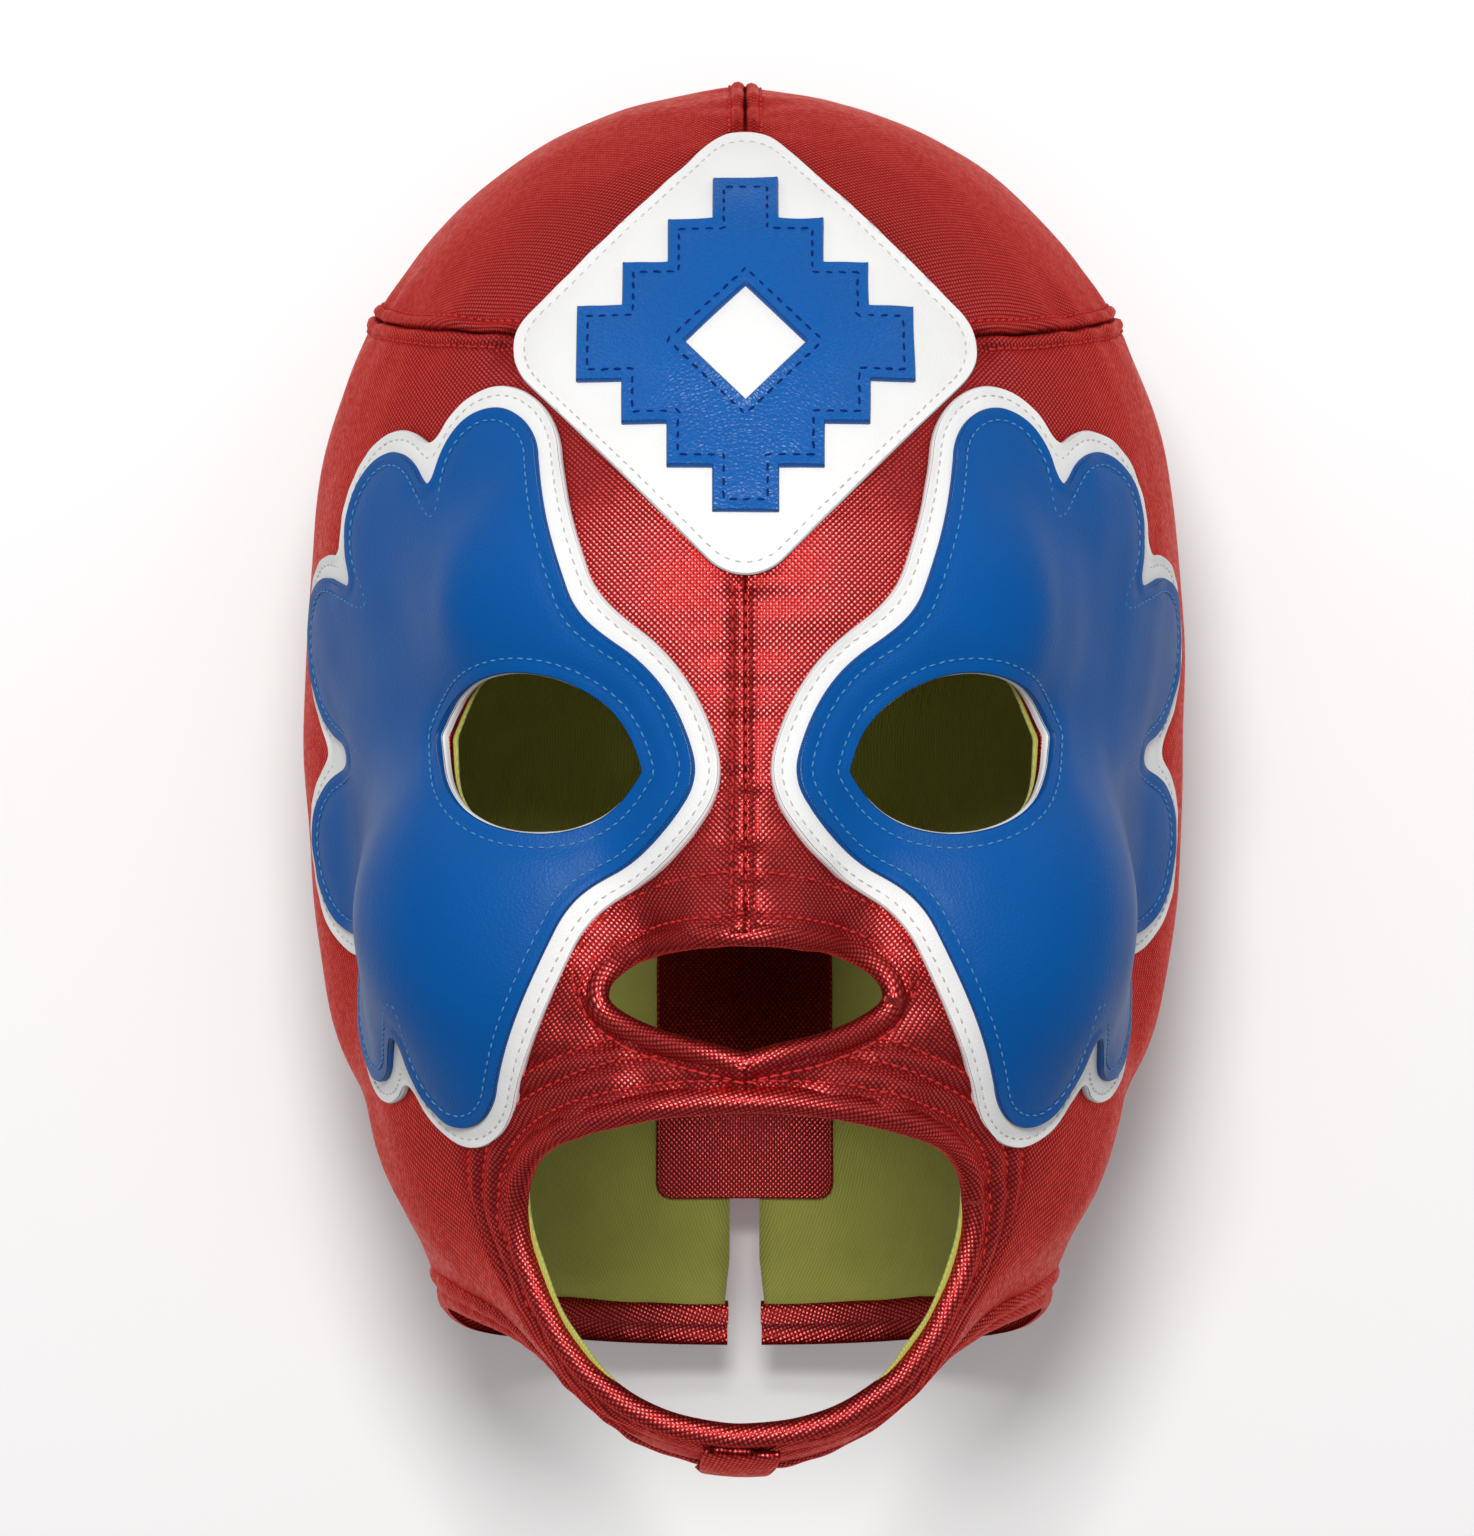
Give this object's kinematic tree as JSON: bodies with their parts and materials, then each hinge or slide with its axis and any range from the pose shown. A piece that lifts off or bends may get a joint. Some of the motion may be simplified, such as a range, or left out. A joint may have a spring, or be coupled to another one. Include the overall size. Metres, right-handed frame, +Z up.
{
  "type": "lucha libre wrestling mask",
  "caption": "Full-head wrestling mask of metallic woven fabric with scalloped vinyl eye surrounds, openings for eyes, nose, mouth and chin, a lining and a laced back slit.",
  "frame": {"origin": "under the middle of the mask, on the surface that it lies on, back down", "axes": "+Z up, the way the face looks; +Y toward the crown; +X the image's right side, seen from the front"},
  "size_m": [0.16, 0.2438, 0.2022],
  "materials": {
    "red_metallic_fabric": "coarse metallic weave with a soft sparkle",
    "yellow_lining": "matt knitted lining",
    "white_vinyl": "satin artificial leather",
    "blue_vinyl": "satin artificial leather with a fine grain",
    "eyelet_metal": "nickel plated"
  },
  "bodies": {
    "root": {"crown_panel_left": "red_metallic_fabric", "crown_panel_right": "red_metallic_fabric", "side_panel_left": "red_metallic_fabric", "side_panel_right": "red_metallic_fabric", "nose_binding": "red_metallic_fabric", "mouth_binding": "red_metallic_fabric", "neck_binding": "red_metallic_fabric", "chin_strap_lap": "red_metallic_fabric", "back_tongue": "red_metallic_fabric", "lacing_band_left": "red_metallic_fabric", "lacing_band_right": "red_metallic_fabric", "lining": "yellow_lining", "eye_backing_left": "white_vinyl", "eye_backing_right": "white_vinyl", "forehead_backing": "white_vinyl", "eye_surround_left": "blue_vinyl", "eye_surround_right": "blue_vinyl", "forehead_motif": "blue_vinyl", "eyelet_left_1": "eyelet_metal", "eyelet_left_2": "eyelet_metal", "eyelet_left_3": "eyelet_metal", "eyelet_left_4": "eyelet_metal", "eyelet_left_5": "eyelet_metal", "eyelet_right_1": "eyelet_metal", "eyelet_right_2": "eyelet_metal", "eyelet_right_3": "eyelet_metal", "eyelet_right_4": "eyelet_metal", "eyelet_right_5": "eyelet_metal"}
  },
  "joints": []
}
